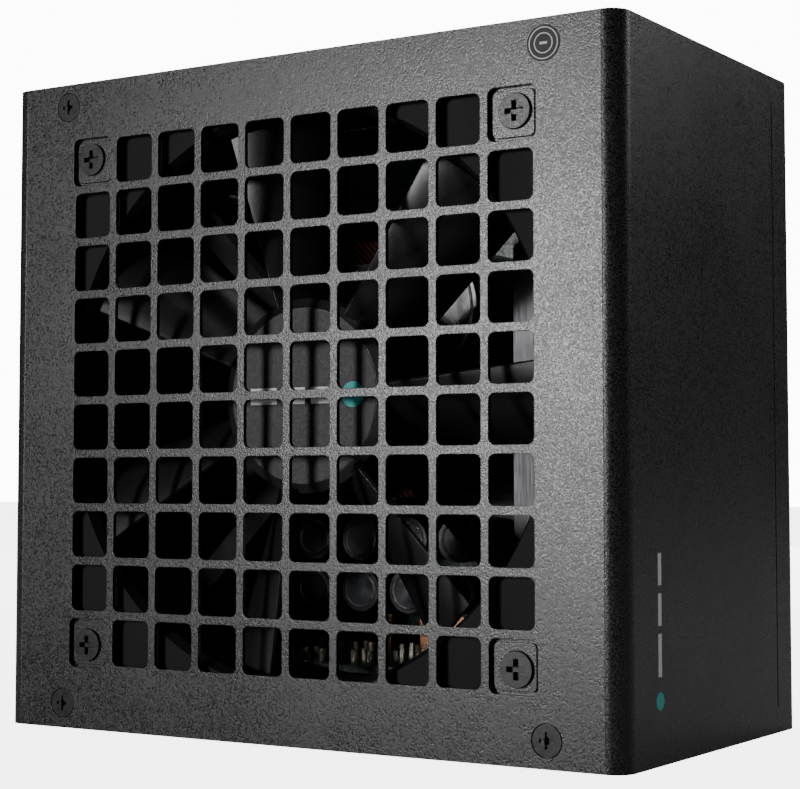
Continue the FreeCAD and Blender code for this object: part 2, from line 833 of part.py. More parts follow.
def blade_section(radius):
    """Cambered profile in the plane at one distance from the fan's axis."""
    share = (radius - value("hub_radius")) / (value("blade_tip") - value("hub_radius"))
    root, tip = value("blade_root_width"), value("blade_tip_width")
    width = root + (tip - root) * share
    front = value("blade_front")
    root_back, tip_back = value("blade_root_back"), value("blade_tip_back")
    back = root_back + (tip_back - root_back) * share
    lead = FreeCAD.Vector(radius, front, 0)
    trail = FreeCAD.Vector(radius, back, -width)
    chord = trail - lead
    across = FreeCAD.Vector(0, -width, -(back - front)).normalize()
    middle = (lead + trail) * 0.5 + across * (value("blade_camber") * chord.Length)
    half = value("blade_thickness") / 2
    edge = value("blade_edge") / 2
    outer = [lead + across * edge, middle + across * half, trail + across * edge]
    inner = [trail - across * edge, middle - across * half, lead - across * edge]
    return Part.Wire([
        Part.Arc(*outer).toShape(),
        Part.LineSegment(outer[2], inner[0]).toShape(),
        Part.Arc(*inner).toShape(),
        Part.LineSegment(inner[2], outer[0]).toShape(),
    ])


def fan_blades():
    """Seven twisted blades, trimmed to the hub and to the tip circle."""
    sections = [blade_section(value(place_at)) for place_at in
                ("hub_radius - 3", "(hub_radius + blade_tip) / 2", "blade_tip + 1.5")]
    blank = Part.makeLoft(sections, True, False)
    axis = FreeCAD.Vector(0, 1, 0)
    start = FreeCAD.Vector(0, value("fan_front"), 0)
    tip = Part.makeCylinder(value("blade_tip"), value("fan_depth"), start, axis)
    hub = Part.makeCylinder(value("hub_radius - hub_wall / 2"), value("fan_depth"), start, axis)
    blade = blank.common(tip).cut(hub)
    count = int(value("blade_count"))
    blades = []
    for index in range(count):
        turn = FreeCAD.Rotation(axis, -(value("blade_phase") - index * 360 / count))
        copy = blade.copy()
        copy.Placement = FreeCAD.Placement(FreeCAD.Vector(0, 0, value("fan_centre")), turn)
        blades.append(copy)
    item = DOC.addObject("Part::Feature", "blades")
    item.Shape = Part.makeCompound(blades)
    return item


def fan_rotor():
    """Hub cup with a bevelled rim and its blades."""
    front = ("0", "hub_front", "fan_centre")
    rim = taper("hub_rim", front, ("hub_radius - hub_bevel", "hub_radius"), "hub_bevel_depth")
    skirt = rod("hub_skirt", ("0", "hub_front + hub_bevel_depth", "fan_centre"), "hub_radius",
                "hub_length - hub_bevel_depth")
    hollow = rod("hub_hollow", ("0", "hub_front + hub_wall", "fan_centre"),
                 "hub_radius - hub_wall", "hub_length")
    boss = rod("hub_boss", front, "2 * shaft_radius", "hub_wall + 1.6")
    bore = rod("hub_bore", ("0", "hub_front + hub_wall", "fan_centre"), "shaft_radius + 0.02", "3")
    cup = cut("hub_cup", fuse("hub_blank", [rim, skirt]), [hollow])
    core = cut("hub_core", fuse("hub_with_boss", [cup, boss]), [bore])
    node(fuse("rotor_whole", [core, fan_blades()]), "fan_rotor")
    label = rod("label_disc", ("0", "hub_front - hub_label_height", "fan_centre"),
                "hub_label_radius", "hub_label_height")
    node(label, "hub_label")


def fan_motor():
    """Shaft, bearing, yoke, magnet, stator and the motor's circuit board."""
    def at(offset):
        return ("0", f"hub_front + {offset}", "fan_centre")

    node(rod("shaft_rod", at("shaft_start"), "shaft_radius", "shaft_length"), "rotor_shaft")
    rings = (
        ("fan_bearing", "bearing_start", "bearing_radius", "shaft_radius + shaft_play",
         "bearing_length"),
        ("shaft_retainer", "retainer_start", "retainer_radius", "shaft_radius + 0.05",
         "retainer_length"),
        ("rotor_yoke", "shaft_start", "hub_radius - hub_wall - 0.05", "yoke_inner", "yoke_length"),
        ("rotor_magnet", "magnet_start", "magnet_outer", "magnet_inner", "magnet_length"),
        ("fan_circuit_board", "motor_board_start", "motor_board_radius",
         "bearing_tube + 2 * bearing_gap", "motor_board_thickness"),
    )
    for label, offset, outer, inner, length in rings:
        node(tube(label + "_ring", at(offset), outer, inner, length), label)
    stator()


def stator():
    """Four-pole laminated core and its coils."""
    front = "hub_front + stator_start"
    start = ("0", front, "fan_centre")
    stack = "stator_stack"
    hub = tube("stator_hub", start, "stator_hub_radius", "bearing_tube + bearing_gap", stack)
    shoes = tube("stator_shoes", start, "stator_outer", "stator_inner", stack)
    arms = []
    gaps = []
    coils = []
    for index in range(4):
        angle = 90 * index
        turn = FreeCAD.Rotation(FreeCAD.Vector(0, 1, 0), angle)
        gap_turn = FreeCAD.Rotation(FreeCAD.Vector(0, 1, 0), angle + 45)
        for name, bucket, spin, offset, size in (
                ("arm", arms, turn, (6.5, 0, -1.5), ("7.5", stack, "3")),
                ("gap", gaps, gap_turn, (11, -1, -1.6), ("6", "10", "3.2")),
                ("coil_blank", coils, turn, (7.6, -1.8, -3.6), ("4.8", "11.6", "7.2"))):
            item = box(f"stator_{name}_{index}", ("0", "0", "0"), size)
            corner = spin.multVec(FreeCAD.Vector(*offset))
            place(item, (corner.x, f"{front} + {corner.y}", f"fan_centre + {corner.z}"), spin)
            bucket.append(item)
    core = cut("stator_stack", fuse("stator_blank", [hub, shoes] + arms), gaps)
    node(core, "stator_core")
    wound = []
    for index, coil in enumerate(coils):
        turn = FreeCAD.Rotation(FreeCAD.Vector(0, 1, 0), 90 * index)
        slot = box(f"coil_slot_{index}", ("0", "0", "0"), ("9", "8.4", "3.4"))
        corner = turn.multVec(FreeCAD.Vector(6, -0.2, -1.7))
        place(slot, (corner.x, f"{front} + {corner.y}", f"fan_centre + {corner.z}"), turn)
        wound.append(cut(f"coil_{index}", coil, [slot]))
    group("stator_windings", wound)


# Mains entry ----------------------------------------------------------------

EARTH_Y = "27"
EARTH_Z = "104"


def inlet_pin_places():
    """Centres of the live, neutral and earth pins."""
    return (
        ("live", "inlet_x - inlet_pin_step", "inlet_y - inlet_pin_offset"),
        ("neutral", "inlet_x + inlet_pin_step", "inlet_y - inlet_pin_offset"),
        ("earth", "inlet_x", "inlet_y + inlet_pin_offset"),
    )


def pin_slots(name, low, height):
    """Clearance slots around the three inlet pins."""
    return [box(f"{name}_{pin}", (f"{x} - inlet_pin_x / 2 - 0.1", f"{y} - inlet_pin_y / 2 - 0.1", low),
                ("inlet_pin_x + 0.2", "inlet_pin_y + 0.2", height))
            for pin, x, y in inlet_pin_places()]


def mains_inlet():
    """Three-pin appliance inlet with a bevelled cavity, its pins and its filter board."""
    top = "depth + inlet_flange_z"
    flange = block("inlet_flange", ("inlet_x", "inlet_y", "depth + inlet_flange_z / 2"),
                   ("inlet_flange_x", "inlet_flange_y", "inlet_flange_z"))
    shell = box("inlet_shell", ("inlet_x - inlet_body_x / 2", "inlet_y - inlet_body_y / 2",
                                "depth - inlet_body_z"),
                ("inlet_body_x", "inlet_body_y", "inlet_body_z"))
    cavity = box("inlet_cavity", ("inlet_x - inlet_cavity_x / 2", "inlet_y - inlet_cavity_y / 2",
                                  f"{top} - inlet_cavity_z"),
                 ("inlet_cavity_x", "inlet_cavity_y", "inlet_cavity_z"))
    bevels = []
    for side in (-1, 1):
        corner = box(f"inlet_bevel_{side + 1}", ("0", "0", "0"),
                     ("2 * inlet_bevel", "2 * inlet_bevel", "inlet_cavity_z"))
        turn = FreeCAD.Rotation(FreeCAD.Vector(0, 0, 1), 45)
        place(corner, (f"inlet_x + {side} * inlet_cavity_x / 2",
                       "inlet_y + inlet_cavity_y / 2 - inlet_bevel",
                       f"{top} - inlet_cavity_z"), turn)
        bevels.append(corner)
    hollow = cut("inlet_hollow", cavity, bevels)
    body = fuse("inlet_blank", [flange, shell])
    slots = pin_slots("inlet_slot", "depth - inlet_body_z", "inlet_body_z")
    node(cut("inlet_moulding", body, [hollow] + slots), "inlet_housing")
    pins = [box("pin_" + pin, (f"{x} - inlet_pin_x / 2", f"{y} - inlet_pin_y / 2", "inlet_pin_end"),
                ("inlet_pin_x", "inlet_pin_y", f"{top} - inlet_pin_tip - inlet_pin_end"))
            for pin, x, y in inlet_pin_places()]
    group("inlet_pins", pins)
    plate = box("filter_plate", ("35", "-4", "inlet_board_z"), ("37.4", "20", "board_thickness"))
    holes = pin_slots("filter_slot", "inlet_board_z", "board_thickness")
    node(cut("filter_board", plate, holes), "inlet_filter_board")


def switch():
    """Rocker switch: frame, tilting rocker and its blade terminals."""
    top = "depth + switch_flange_z"
    flange = block("switch_flange", ("switch_x", "switch_y", "depth + switch_flange_z / 2"),
                   ("switch_flange_x", "switch_flange_y", "switch_flange_z"))
    shell = box("switch_shell", ("switch_x - switch_body_x / 2", "switch_y - switch_body_y / 2",
                                 "depth - switch_body_z"),
                ("switch_body_x", "switch_body_y", "switch_body_z"))
    cavity = box("switch_cavity", ("switch_x - switch_cavity_x / 2",
                                   "switch_y - switch_cavity_y / 2", "switch_cavity_floor"),
                 ("switch_cavity_x", "switch_cavity_y", f"{top} - switch_cavity_floor"))
    start = ("switch_x - rocker_width / 2 - rocker_pin_length", "switch_y", "rocker_pivot")
    length = "rocker_width + 2 * rocker_pin_length"
    bore = rod("switch_bore", (f"{start[0]} - 0.05", start[1], start[2]),
               "rocker_pin_radius + rocker_pin_play", f"{length} + 0.1", "X")
    blades = []
    holes = []
    for side in (-1, 1):
        centre = ("switch_x", f"switch_y + {side} * terminal_step")
        blades.append(box(f"switch_blade_{side + 1}",
                          (f"{centre[0]} - terminal_width / 2",
                           f"{centre[1]} - terminal_plate / 2", "terminal_low"),
                          ("terminal_width", "terminal_plate", "terminal_length")))
        holes.append(box(f"switch_slot_{side + 1}",
                         (f"{centre[0]} - terminal_width / 2 - 0.1",
                          f"{centre[1]} - terminal_plate / 2 - 0.1", "terminal_low + 3"),
                         ("terminal_width + 0.2", "terminal_plate + 0.2", "terminal_length - 1")))
    node(cut("switch_moulding", fuse("switch_blank", [flange, shell]), [cavity, bore] + holes),
         "switch_frame")
    group("switch_terminals", blades)
    rocker(start, length)


def rocker(start, length):
    """Tilting key with two sloped faces, stored with its +Y end pressed."""
    drum = rod("rocker_drum", ("switch_x - rocker_width / 2", "switch_y", "rocker_pivot"),
               "rocker_radius", "rocker_width", "X")
    pivot = FreeCAD.Vector(value("switch_x - rocker_width / 2 - 1"), value("switch_y"),
                           value("rocker_pivot"))
    across = FreeCAD.Vector(1, 0, 0)
    tilt = FreeCAD.Placement(pivot, FreeCAD.Rotation(across, -value("rocker_tilt")))
    waste = []
    for side in (-1, 1):
        item = DOC.addObject("Part::Box", f"rocker_waste_{side + 1}")
        bind(item, {"Length": "rocker_width + 2", "Width": "2 * rocker_radius",
                    "Height": "2 * rocker_radius"})
        slope = FreeCAD.Rotation(across, side * value("rocker_slope"))
        crest = FreeCAD.Placement(FreeCAD.Vector(0, 0, value("rocker_crest")), slope)
        shift = FreeCAD.Vector(0, 0 if side > 0 else -value("2 * rocker_radius"), 0)
        item.Placement = tilt.multiply(crest).multiply(FreeCAD.Placement(shift, FreeCAD.Rotation()))
        waste.append(item)
    key = cut("rocker_key", drum, waste)
    pins = rod("rocker_pins", start, "rocker_pin_radius", length, "X")
    node(fuse("rocker_whole", [key, pins]), "switch_rocker")


# Circuit boards -------------------------------------------------------------


def board_posts():
    """Places of the four posts that carry the main board."""
    return [(f"{side} * post_half_x", level) for side in (-1, 1) for level in ("post_low", "post_high")]


def boards():
    """Main board with its posts, screws and insulation, and the socket board."""
    plate = box("main_plate", ("-board_half_x", "board_face", "board_low"),
                ("2 * board_half_x", "board_thickness", "board_high - board_low"))
    film = box("film_plate", ("-board_half_x - 1", "thickness / 2 - wall - 0.5", "board_low - 3"),
               ("2 * board_half_x + 2", "0.3", "board_high - board_low + 5"))
    back = "board_face + board_thickness"
    holes, gaps, posts, screws = [], [], [], []
    for index, (x, z) in enumerate(board_posts()):
        holes.append(rod(f"board_hole_{index}", (x, "board_face", z), "post_bore", "board_thickness"))
        gaps.append(rod(f"film_hole_{index}", (x, "board_face", z), "post_radius + 0.3", "10"))
        posts.append(tube(f"board_post_{index}", (x, f"{back} + 0.05", z), "post_radius",
                          "post_bore", f"thickness / 2 - wall - ({back}) - 0.1"))
        head = rod(f"board_screw_head_{index}", (x, "board_face - board_head_height - 0.05", z),
                   "board_head_radius", "board_head_height")
        shank = rod(f"board_screw_shank_{index}", (x, "board_face - 0.1", z),
                    "board_screw_radius", "5")
        slots = cross_slot(f"board_screw_slot_{index}", (x, "board_face - board_head_height - 0.1", z),
                           "case_slot_span", "case_slot_width", "1.2")
        screws.append(cut(f"board_screw_{index}",
                          fuse(f"board_screw_blank_{index}", [head, shank]), slots))
    node(cut("main_plate_drilled", plate, holes), "main_board")
    node(cut("film_cut", film, gaps), "insulation_sheet")
    group("board_standoffs", posts)
    group("board_screws", screws)
    lower = box("socket_plate", ("-socket_board_half_x", "socket_board_front", "socket_board_z"),
                ("2 * socket_board_half_x", "socket_board_rear - socket_board_front",
                 "board_thickness"))
    node(lower, "socket_board")


def standing(name, x, z, size):
    """Block that stands on the main board; size is X, height and Z."""
    return box(name, (f"{x} - ({size[0]}) / 2", f"board_face - board_seat - ({size[1]})",
                      f"{z} - ({size[2]}) / 2"), size)


def can(name, x, z, radius, height):
    """Aluminium can with a rolled groove near its foot."""
    foot = (x, f"board_face - board_seat - ({height})", z)
    body = rod(name + "_can", foot, radius, height)
    roll = DOC.addObject("Part::Torus", name + "_roll")
    bind(roll, {"Radius1": f"{radius} + 0.3", "Radius2": "0.8"})
    place(roll, (x, "board_face - 3", z), ALONG["Y"])
    return cut(name, body, [roll])


def capacitors():
    """Bulk, output, film and safety capacitors."""
    node(can("bulk_can", "bulk_x", "bulk_z", "bulk_radius", "bulk_height"), "bulk_capacitor")
    row = ("5.1", "-7.9", "-20.9", "-33.9")
    cans = [can(f"output_can_{index}_{line}", x, z, "output_can_radius", "output_can_height")
            for line, z in enumerate(("39.7", "28"))
            for index, x in enumerate(row)]
    group("output_capacitors", cans)
    films = [
        standing("film_block_mains", "47", "127", ("24", "15", "9")),
        standing("film_block_resonant", "-17", "82", ("17", "15", "7")),
        box("film_block_inlet", ("47", "2", "inlet_board_z - 13.8"), ("17", "8", "12")),
    ]
    group("film_capacitors", films)
    discs = [rod(f"safety_disc_{index}", (x, "board_face - 6", "104"), "disc_radius",
                 "disc_thickness", "X")
             for index, x in enumerate(("54", "62"))]
    group("safety_capacitors", discs)


def ring_core(name, centre, radii, height, axis):
    """Toroid core and a winding that covers it apart from a gap."""
    x, y, z = centre
    clear = 0.1
    wire = 1.6
    core = tube(name + "_core", (x, y, z), radii[0], radii[1], height, axis)
    start = [x, y, z]
    index = "XYZ".index(axis)
    start[index] = f"{start[index]} - {wire}"
    wound = tube(name + "_wound", start, radii[0] + wire, radii[1] - wire, height + 2 * wire, axis)
    start[index] = f"{start[index]} + {wire - clear}"
    hollow = tube(name + "_void", start, radii[0] + clear, radii[1] - clear, height + 2 * clear, axis)
    return core, wound, hollow


def chokes():
    """Common-mode chokes, boost choke, resonant inductor and output inductors."""
    cores, coils = [], []
    for index, z in enumerate((66, 91)):
        centre = ("choke_x", "choke_y", z - 3.5)
        core, wound, hollow = ring_core(f"mains_choke_{index}", centre, (8.8, 5), 7, "Z")
        gap = block(f"mains_choke_gap_{index}", ("choke_x", "choke_y", z), ("choke_gap", "24", "12"))
        cores.append(core)
        coils.append(cut(f"mains_choke_coil_{index}", wound, [hollow, gap]))
    group("mains_choke_cores", cores)
    group("mains_choke_windings", coils)
    core, wound, hollow = ring_core("boost_choke", ("choke_x", "board_face - 15", "41"),
                                    (12.2, 6.5), 12, "Y")
    gap = box("boost_choke_gap", ("choke_x", "board_face - 20", "39.5"), ("20", "20", "choke_gap"))
    node(core, "boost_choke_core")
    node(cut("boost_choke_coil", wound, [hollow, gap]), "boost_choke_winding")
    node(standing("resonant_block", "16", "62", ("15", "20", "15")), "resonant_inductor")
    rings = [tube(f"output_ring_{index}", (x, "board_face - 8.5", z), "6.5", "2.5", "8")
             for index, (x, z) in enumerate((("-48.5", "31"), ("-61", "36")))]
    group("output_inductors", rings)


def transformer(name, x, z, width, height, stack, limb):
    """Core with two windows, and the winding around its middle limb."""
    window_height = height - limb
    window = (width - 2 * limb) / 2
    level = f"board_face - board_seat - {height / 2}"
    core = standing(name + "_core_blank", x, z, (width, height, stack))
    holes = []
    for side in (-1, 1):
        centre = (f"{x} + {side * (limb / 2 + window / 2)}", level, z)
        holes.append(block(f"{name}_window_{side + 1}", centre, (window, window_height, stack + 2)))
    drilled = cut(name + "_core", core, holes)
    coil = block(name + "_coil_blank", (x, level, z),
                 (width - limb - 0.4, window_height - 0.4, stack + 11))
    bore = block(name + "_coil_bore", (x, level, z), (limb + 0.3, window_height + 2, stack + 0.3))
    return drilled, cut(name + "_coil", coil, [bore])


def transformers():
    """Main and standby transformers."""
    main_core, main_coil = transformer("main_transformer", -14, 62, 34, 32, 14, 10)
    small_core, small_coil = transformer("standby_transformer", -20, 101, 18, 17, 6, 5)
    group("transformer_cores", [main_core, small_core])
    group("transformer_windings", [main_coil, small_coil])


def heatsink(name, x, side, front, low, high):
    """Upright plate on the main board with a comb of fins at its free edge."""
    plate = box(name + "_plate", (f"{x} - sink_plate / 2", front, low),
                ("sink_plate", f"board_face - 1 - ({front})", f"{high} - {low}"))
    fins = []
    root = "sink_plate / 2 - 0.1"
    start = f"{x} + {root}" if side > 0 else f"{x} - ({root}) - sink_fin_reach"
    for index in range(5):
        fins.append(box(f"{name}_fin_{index}", (start, f"{front} + {index} * sink_fin_pitch", low),
                        ("sink_fin_reach", "sink_fin", f"{high} - {low}")))
    return fuse(name, [plate] + fins)


def power_stage():
    """Heatsinks with the rectifier and the transistors bolted to them."""
    node(heatsink("primary_sink", 34.5, 1, -8, 40, 104), "primary_heatsink")
    sinks = [heatsink("secondary_sink_near", -40, -1, 2, 46, 104),
             heatsink("secondary_sink_far", -59.5, 1, 2, 46, 104)]
    group("secondary_heatsinks", sinks)
    node(box("bridge_block", ("36.1", "14", "80"), ("3.6", "18", "22")), "bridge_rectifier")
    packages = []
    for index in range(4):
        z = 46 + 14 * index
        body = box(f"transistor_body_{index}", ("28.4", "12", z), ("4.5", "9", "10.2"))
        tab = box(f"transistor_tab_{index}", ("31.6", "5.5", z), ("1.3", "6.6", "10.2"))
        hole = rod(f"transistor_hole_{index}", ("31", "8.3", z + 5.1), "1.8", "3", "X")
        legs = [box(f"transistor_leg_{index}_{leg}", ("30", "20.9", z + 1.9 + 2.54 * leg),
                    ("0.6", "15", "0.9")) for leg in range(3)]
        packages.append(cut(f"transistor_{index}",
                            fuse(f"transistor_blank_{index}", [body, tab] + legs), [hole]))
    group("power_transistors", packages)


def small_parts():
    """Fuse, thermistor, relay and supervisor board."""
    barrel = rod("fuse_barrel", ("fuse_x", "fuse_y", "110"), "fuse_radius", "fuse_length", "Z")
    caps = [rod(f"fuse_cap_{index}", ("fuse_x", "fuse_y", z), "fuse_cap_radius",
                "fuse_cap_length", "Z")
            for index, z in enumerate(("109.5", "125.5"))]
    node(fuse("fuse_whole", [barrel] + caps), "input_fuse")
    disc = rod("thermistor_disc", ("52", "27.5", "112.5"), "thermistor_radius",
               "thermistor_thickness", "Z")
    legs = [box(f"thermistor_leg_{index}", (x, "27.5", "114.3"), ("0.8", "8.4", "0.8"))
            for index, x in enumerate(("48.5", "54.7"))]
    node(fuse("thermistor_whole", [disc] + legs), "inrush_thermistor")
    node(standing("relay_block", "24.5", "122", ("19", "15", "15")), "inrush_relay")
    node(box("supervisor_plate", ("-66", "12", "60"), ("1.2", "board_face - 12.05", "30")),
         "supervisor_board")
    plug = standing("fan_plug_block", "-40", "116", ("8", "9", "6"))
    node(plug, "fan_plug")


def busbars():
    """Copper straps from the main board down to the socket board."""
    bars = []
    foot = "socket_board_z + board_thickness + board_seat"
    for index, x in enumerate(("-54", "-34", "-14", "6")):
        upright = box(f"bar_upright_{index}", (x, "bar_y", foot),
                      ("bar_width", "bar_thickness", f"bar_shelf + bar_thickness - ({foot})"))
        shelf = box(f"bar_shelf_{index}", (x, "bar_y", "bar_shelf"),
                    ("bar_width", "board_face - board_seat - bar_y", "bar_thickness"))
        bars.append(fuse(f"bar_{index}", [upright, shelf]))
    group("busbars", bars)


# Cable sockets --------------------------------------------------------------


def socket_width(columns):
    """Outside width of a socket with this many columns of chambers."""
    return f"({columns} * socket_pitch + 2 * socket_rim)"


def socket_depth():
    """Outside depth of a socket, which always has two rows."""
    return "(2 * socket_pitch + 2 * socket_rim)"


def socket_layout():
    """Every socket as its label, its columns, its left edge and its row."""
    rows = (
        ("socket_rear_row", (("motherboard_wide", 9), ("motherboard_narrow", 5),
                             ("eight_way_a", 4), ("eight_way_b", 4))),
        ("socket_front_row", (("eight_way_c", 4), ("eight_way_d", 4), ("six_way_a", 3),
                              ("six_way_b", 3), ("six_way_c", 3), ("six_way_d", 3))),
    )
    layout = []
    for row, sockets in rows:
        passed = 0
        for index, (label, columns) in enumerate(sockets):
            between = f"{index} * (socket_spacing + 2 * socket_rim)"
            left = f"(socket_left + {passed} * socket_pitch + {between})"
            layout.append((label, columns, left, row))
            passed += columns
    return layout


def socket_body(label, columns, left, row):
    """Moulded socket with a square chamber for every contact."""
    body = plain_body(label)
    front = f"{row} - {socket_depth()} / 2"
    body_block(body, "Additive", label + "_block", (left, front, "socket_setback"),
               (socket_width(columns), socket_depth(), "socket_board_z - socket_setback - 0.05"))
    inset = "socket_rim + (socket_pitch - socket_chamber) / 2"
    chamber = body_block(body, "Subtractive", label + "_chamber",
                         (f"{left} + {inset}", f"{front} + {inset}", "socket_setback"),
                         ("socket_chamber", "socket_chamber", "socket_chamber_depth"))
    grid(body, label + "_chambers", [chamber], ("X_Axis", columns, "socket_pitch"),
         ("Y_Axis", "2", "socket_pitch"))
    return body


def socket_pins(label, columns, left, row):
    """Square contacts in the middle of each chamber."""
    pins = []
    for column in range(columns):
        for line in range(2):
            x = f"{left} + socket_rim + ({column} + 0.5) * socket_pitch - pin_size / 2"
            y = f"{row} + ({line} - 0.5) * socket_pitch - pin_size / 2"
            pins.append(box(f"{label}_pin_{column}_{line}", (x, y, "pin_low"),
                            ("pin_size", "pin_size", "pin_high - pin_low")))
    return pins


def cable_sockets():
    """Sockets by size, and all their contacts."""
    families = {"motherboard_wide": [], "motherboard_narrow": [], "eight_way": [], "six_way": []}
    pins = []
    for label, columns, left, row in socket_layout():
        family = next(name for name in families if label.startswith(name))
        families[family].append(socket_body(label, columns, left, row))
        pins += socket_pins(label, columns, left, row)
    group("socket_18_pin", families["motherboard_wide"])
    group("socket_10_pin", families["motherboard_narrow"])
    group("sockets_8_pin", families["eight_way"])
    group("sockets_6_pin", families["six_way"])
    group("socket_pins", pins)


# Leads ----------------------------------------------------------------------


def rounded_path(points):
    """Straight runs joined by tangent arcs, each as large as its two runs allow."""
    edges = []
    at = points[0]
    for before, corner, after in zip(points, points[1:], points[2:]):
        arriving = (corner - before).normalize()
        leaving = (after - corner).normalize()
        reach = 0.45 * min((corner - before).Length, (after - corner).Length)
        half_turn = arriving.getAngle(leaving) / 2
        radius = reach / math.tan(half_turn)
        inward = (leaving - arriving).normalize()
        centre = corner + inward * (radius / math.cos(half_turn))
        start = corner - arriving * reach
        end = corner + leaving * reach
        edges.append(Part.LineSegment(at, start).toShape())
        edges.append(Part.Arc(start, centre - inward * radius, end).toShape())
        at = end
    edges.append(Part.LineSegment(at, points[-1]).toShape())
    return Part.Wire(edges)


def lead(name, radius_name, route):
    """Round lead along a rounded route."""
    points = [FreeCAD.Vector(*spot) for spot in route]
    radius = value(radius_name)
    path = rounded_path(points)
    ring = Part.Wire([Part.makeCircle(radius, points[0], points[1] - points[0])])
    solid = path.makePipeShell([ring], True, True)
    expected = math.pi * radius ** 2 * path.Length
    if abs(solid.Volume - expected) > 0.02 * expected:
        raise RuntimeError(name + ": volume does not match section times length")
    item = DOC.addObject("Part::Feature", name)
    item.Shape = solid
    item.Placement = FreeCAD.Placement()
    return item


def leads():
    """Internal leads of the mains entry and of the fan."""
    x, y = value("switch_x"), value("switch_y")
    far, near = y + value("terminal_step"), y - value("terminal_step")
    board = value("board_face - board_seat")
    under = value("inlet_board_z - board_seat")
    blades = value("terminal_low - board_seat")
    mains = [
        lead("live_lead", "mains_lead_radius", ((x, far, blades), (x, far, 106), (x, board, 106))),
        lead("neutral_lead", "mains_lead_radius", ((43, 13, under), (43, 13, 104), (43, board, 104))),
        lead("switch_link", "mains_lead_radius",
             ((x, near, blades), (x, near, 108), (41, near, 108), (41, near, under))),
    ]
    group("ac_leads", mains)
    node(lead("earth_wire", "mains_lead_radius", ((70.9, 3, under), (70.9, 3, 104), (70.9, 17, 104))),
         "earth_lead")
    node(lead("fan_wire", "fan_lead_radius",
              ((-50, -15.45, 120), (-50, 0, 120), (-40, 11, 116), (-40, 26.9, 116))), "fan_lead")


def earth_parts():
    """Ring terminal and the screw that fastens it to the tray's lap."""
    barrel = rod("earth_barrel", ("70.9", "17.05", EARTH_Z), "1.6", "4.5")
    neck = box("earth_neck", ("70.9", "19", f"{EARTH_Z} - 1.5"), ("1.7", "7", "3"))
    ring = rod("earth_ring", ("71.6", EARTH_Y, EARTH_Z), "3.4", "1", "X")
    hole = rod("earth_ring_hole", ("69", EARTH_Y, EARTH_Z), "1.5", "5", "X")
    seat = rod("earth_ring_seat", ("69", EARTH_Y, EARTH_Z), "3", "2.6", "X")
    node(cut("earth_lug", fuse("earth_lug_blank", [barrel, neck, ring]), [hole, seat]), "earth_terminal")
    head = rod("earth_head", ("69.9", EARTH_Y, EARTH_Z), "2.6", "1.65", "X")
    shank = rod("earth_shank", ("69.9", EARTH_Y, EARTH_Z), "board_screw_radius", "3.8", "X")
    node(fuse("earth_screw_whole", [head, shank]), "earth_screw")


# Build and export -----------------------------------------------------------


def check():
    """Stop on any failed object or unsound sub-part."""
    for item in DOC.Objects:
        if "Invalid" in item.State or "Error" in item.State:
            raise RuntimeError(f"{item.Name} failed: {item.State}")
    for item in NODES:
        if item.Shape.isNull() or not item.Shape.isValid() or not item.Shape.Solids:
            raise RuntimeError(f"{item.Label} has no sound solid")


def export():
    """Write every sub-part to its own file."""
    os.makedirs("parts", exist_ok=True)
    for item in NODES:
        item.Shape.exportStep(f"parts/{item.Label}.step")


fill_sheet()
for build in (fan_cover, housing_tray, case_fasteners, fan_frame, fan_spider, fan_rotor,
              fan_motor, mains_inlet, switch, boards, capacitors, chokes, transformers,
              power_stage, small_parts, busbars, cable_sockets, leads, earth_parts):
    build()
DOC.recompute()
check()
export()
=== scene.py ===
import json
import math

import bmesh
import bpy
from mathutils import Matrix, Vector


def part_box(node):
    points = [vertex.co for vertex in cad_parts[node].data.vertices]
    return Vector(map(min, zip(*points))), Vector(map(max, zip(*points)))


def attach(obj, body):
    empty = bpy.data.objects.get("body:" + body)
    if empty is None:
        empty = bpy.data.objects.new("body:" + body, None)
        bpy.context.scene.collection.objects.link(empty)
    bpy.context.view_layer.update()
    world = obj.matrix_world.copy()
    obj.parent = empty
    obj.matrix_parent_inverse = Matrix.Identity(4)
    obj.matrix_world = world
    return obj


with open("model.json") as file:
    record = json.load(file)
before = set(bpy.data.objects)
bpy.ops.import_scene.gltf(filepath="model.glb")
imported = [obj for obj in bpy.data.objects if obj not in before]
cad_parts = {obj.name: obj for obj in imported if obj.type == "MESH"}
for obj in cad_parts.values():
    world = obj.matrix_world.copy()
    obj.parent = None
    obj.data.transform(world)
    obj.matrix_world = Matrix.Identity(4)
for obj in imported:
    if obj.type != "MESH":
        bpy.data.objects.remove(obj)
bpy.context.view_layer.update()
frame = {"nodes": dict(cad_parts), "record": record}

MM = 0.001
NODES = frame["nodes"]

INK_WHITE = (0.62, 0.62, 0.62)
INK_TEAL = (0.0, 0.36, 0.33)
# Grey painted along edges as a highlight, standing in for edge glints.
EDGE_HIGHLIGHT_GREY = (0.16, 0.16, 0.165)
COAT_DARK = (0.003, 0.003, 0.0034)
COAT_LIGHT = (0.032, 0.0325, 0.034)


# Shader helpers ---------------------------------------------------------------


